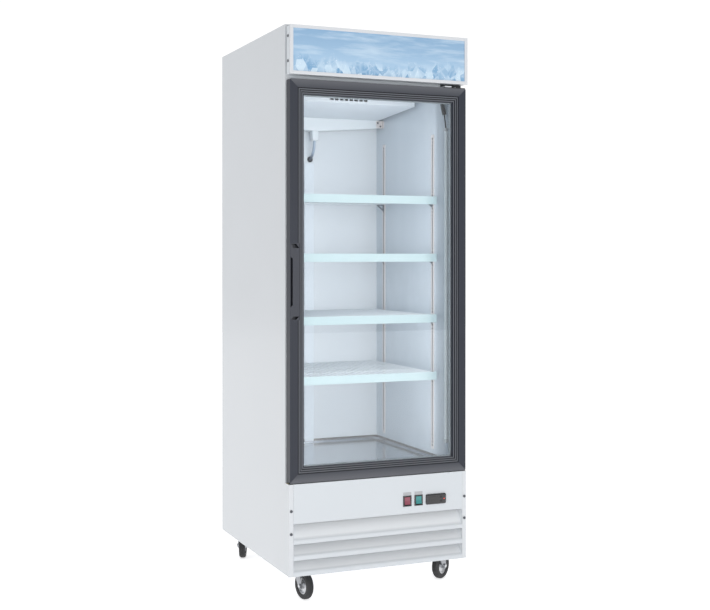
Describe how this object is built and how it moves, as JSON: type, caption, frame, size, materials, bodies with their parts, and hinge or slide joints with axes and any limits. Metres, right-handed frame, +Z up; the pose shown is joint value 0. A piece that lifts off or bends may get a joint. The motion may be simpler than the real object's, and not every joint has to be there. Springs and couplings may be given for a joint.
{
  "type": "reach-in refrigerator",
  "caption": "Upright glass door merchandiser refrigerator with lit header, wire shelves, louvred front panel and swivel casters",
  "frame": {"origin": "on the floor under the middle of the cabinet's bounding box, where the caster wheels stand", "axes": "+Z up, -Y out of the door (front), +X to the right as seen from the front, the hinge side"},
  "size_m": [0.6971, 0.807, 2.03],
  "materials": {
    "body_white": "gloss",
    "galvanised": "satin",
    "foam": "matte",
    "liner_white": "gloss",
    "throat_plastic": "satin",
    "stainless": "satin",
    "header_plastic": "gloss",
    "header_print": "gloss",
    "lamp_diffuser": "satin",
    "door_charcoal": "satin",
    "gasket": "matte",
    "door_glass": "gloss",
    "spacer": "satin",
    "handle_black": "satin",
    "hinge_black": "satin",
    "shelf_coating": "gloss",
    "coil_aluminium": "satin",
    "fan_plastic": "satin",
    "motor_black": "satin",
    "drain_plastic": "satin",
    "soft_white": "satin",
    "copper": "satin",
    "control_black": "gloss",
    "rocker_red": "gloss",
    "rocker_green": "gloss",
    "screw_dark": "satin",
    "moulded_black": "matte",
    "fork_steel": "satin",
    "caster_rubber": "matte"
  },
  "bodies": {
    "cabinet": {"side_panel_left": "body_white", "side_panel_right": "body_white", "top_panel": "body_white", "front_grille": "body_white", "header_box": "body_white", "back_panel": "galvanised", "base_frame": "galvanised", "rear_grille": "galvanised", "electrical_box": "galvanised", "shelf_standards": "galvanised", "shelf_clips": "galvanised", "foam_insulation": "foam", "inner_liner": "liner_white", "evaporator_housing": "liner_white", "throat_frame": "throat_plastic", "floor_tray": "stainless", "header_frame": "header_plastic", "header_picture": "header_print", "header_lamp": "lamp_diffuser", "lamp_bar": "lamp_diffuser", "hinge_bracket_top": "hinge_black", "hinge_bracket_bottom": "hinge_black", "evaporator_coil": "coil_aluminium", "condenser_coil": "coil_aluminium", "evaporator_fan_motor": "motor_black", "condenser_fan_motor": "motor_black", "compressor": "motor_black", "drain_pan": "drain_plastic", "drain_hose": "soft_white", "lamp_lead": "soft_white", "lamp_connector": "soft_white", "refrigerant_lines": "copper", "switch_bezels": "control_black", "controller_body": "control_black", "panel_screws": "screw_dark", "condensate_tray": "moulded_black", "cord_gland": "moulded_black"},
    "door": {"door_stile_left": "door_charcoal", "door_frame": "door_charcoal", "door_gasket": "gasket", "door_glass_outer": "door_glass", "door_glass_inner": "door_glass", "glass_spacer": "spacer", "door_handle": "handle_black"},
    "shelf_1": {"shelf_1": "shelf_coating"},
    "shelf_2": {"shelf_2": "shelf_coating"},
    "shelf_3": {"shelf_3": "shelf_coating"},
    "shelf_4": {"shelf_4": "shelf_coating"},
    "power_rocker": {"power_rocker": "rocker_red"},
    "lamp_rocker": {"lamp_rocker": "rocker_green"},
    "evaporator_fan": {"evaporator_fan": "fan_plastic"},
    "condenser_fan": {"condenser_fan": "fan_plastic"},
    "caster_front_left_fork": {"caster_fork_front_left": "fork_steel"},
    "caster_front_left_wheel": {"caster_wheel_front_left": "caster_rubber"},
    "caster_front_right_fork": {"caster_fork_front_right": "fork_steel"},
    "caster_front_right_wheel": {"caster_wheel_front_right": "caster_rubber"},
    "caster_rear_left_fork": {"caster_fork_rear_left": "fork_steel"},
    "caster_rear_left_wheel": {"caster_wheel_rear_left": "caster_rubber"},
    "caster_rear_right_fork": {"caster_fork_rear_right": "fork_steel"},
    "caster_rear_right_wheel": {"caster_wheel_rear_right": "caster_rubber"}
  },
  "joints": [
    {"name": "door_hinge", "type": "hinge", "parent": "cabinet", "child": "door", "pos_m": [0.331, -0.372, 1.1305], "axis": [0, 0, 1], "range_deg": [0, 105]},
    {"name": "power_switch", "type": "hinge", "parent": "cabinet", "child": "power_rocker", "pos_m": [0.1065, -0.386, 0.3295], "axis": [1, 0, 0], "range_deg": [0, 12]},
    {"name": "lamp_switch", "type": "hinge", "parent": "cabinet", "child": "lamp_rocker", "pos_m": [0.152, -0.386, 0.3295], "axis": [1, 0, 0], "range_deg": [0, 12]},
    {"name": "evaporator_fan_spin", "type": "hinge", "parent": "cabinet", "child": "evaporator_fan", "pos_m": [0, -0.08, 1.878], "axis": [0, 1, 0], "continuous": true},
    {"name": "condenser_fan_spin", "type": "hinge", "parent": "cabinet", "child": "condenser_fan", "pos_m": [-0.105, -0.19, 0.25], "axis": [0, 1, 0], "continuous": true},
    {"name": "shelf_1_lift", "type": "slide", "parent": "cabinet", "child": "shelf_1", "axis": [0, 0, 1], "range_m": [0, 0.03]},
    {"name": "shelf_2_lift", "type": "slide", "parent": "cabinet", "child": "shelf_2", "axis": [0, 0, 1], "range_m": [0, 0.03]},
    {"name": "shelf_3_lift", "type": "slide", "parent": "cabinet", "child": "shelf_3", "axis": [0, 0, 1], "range_m": [0, 0.03]},
    {"name": "shelf_4_lift", "type": "slide", "parent": "cabinet", "child": "shelf_4", "axis": [0, 0, 1], "range_m": [0, 0.03]},
    {"name": "caster_front_left_swivel", "type": "hinge", "parent": "cabinet", "child": "caster_front_left_fork", "pos_m": [-0.274, -0.292, 0.12], "axis": [0, 0, 1], "continuous": true},
    {"name": "caster_front_left_spin", "type": "hinge", "parent": "caster_front_left_fork", "child": "caster_front_left_wheel", "pos_m": [-0.26766, -0.32744, 0.049], "axis": [0.9844, 0.1761, 0], "continuous": true},
    {"name": "caster_front_right_swivel", "type": "hinge", "parent": "cabinet", "child": "caster_front_right_fork", "pos_m": [0.274, -0.292, 0.12], "axis": [0, 0, 1], "continuous": true},
    {"name": "caster_front_right_spin", "type": "hinge", "parent": "caster_front_right_fork", "child": "caster_front_right_wheel", "pos_m": [0.30402, -0.27213, 0.049], "axis": [-0.5519, 0.8339, 0], "continuous": true},
    {"name": "caster_rear_left_swivel", "type": "hinge", "parent": "cabinet", "child": "caster_rear_left_fork", "pos_m": [-0.274, 0.35, 0.12], "axis": [0, 0, 1], "continuous": true},
    {"name": "caster_rear_left_spin", "type": "hinge", "parent": "caster_rear_left_fork", "child": "caster_rear_left_wheel", "pos_m": [-0.28819, 0.31691, 0.049], "axis": [0.9191, -0.394, 0], "continuous": true},
    {"name": "caster_rear_right_swivel", "type": "hinge", "parent": "cabinet", "child": "caster_rear_right_fork", "pos_m": [0.274, 0.35, 0.12], "axis": [0, 0, 1], "continuous": true},
    {"name": "caster_rear_right_spin", "type": "hinge", "parent": "caster_rear_right_fork", "child": "caster_rear_right_wheel", "pos_m": [0.2848, 0.31566, 0.049], "axis": [0.9539, 0.3, 0], "continuous": true}
  ]
}
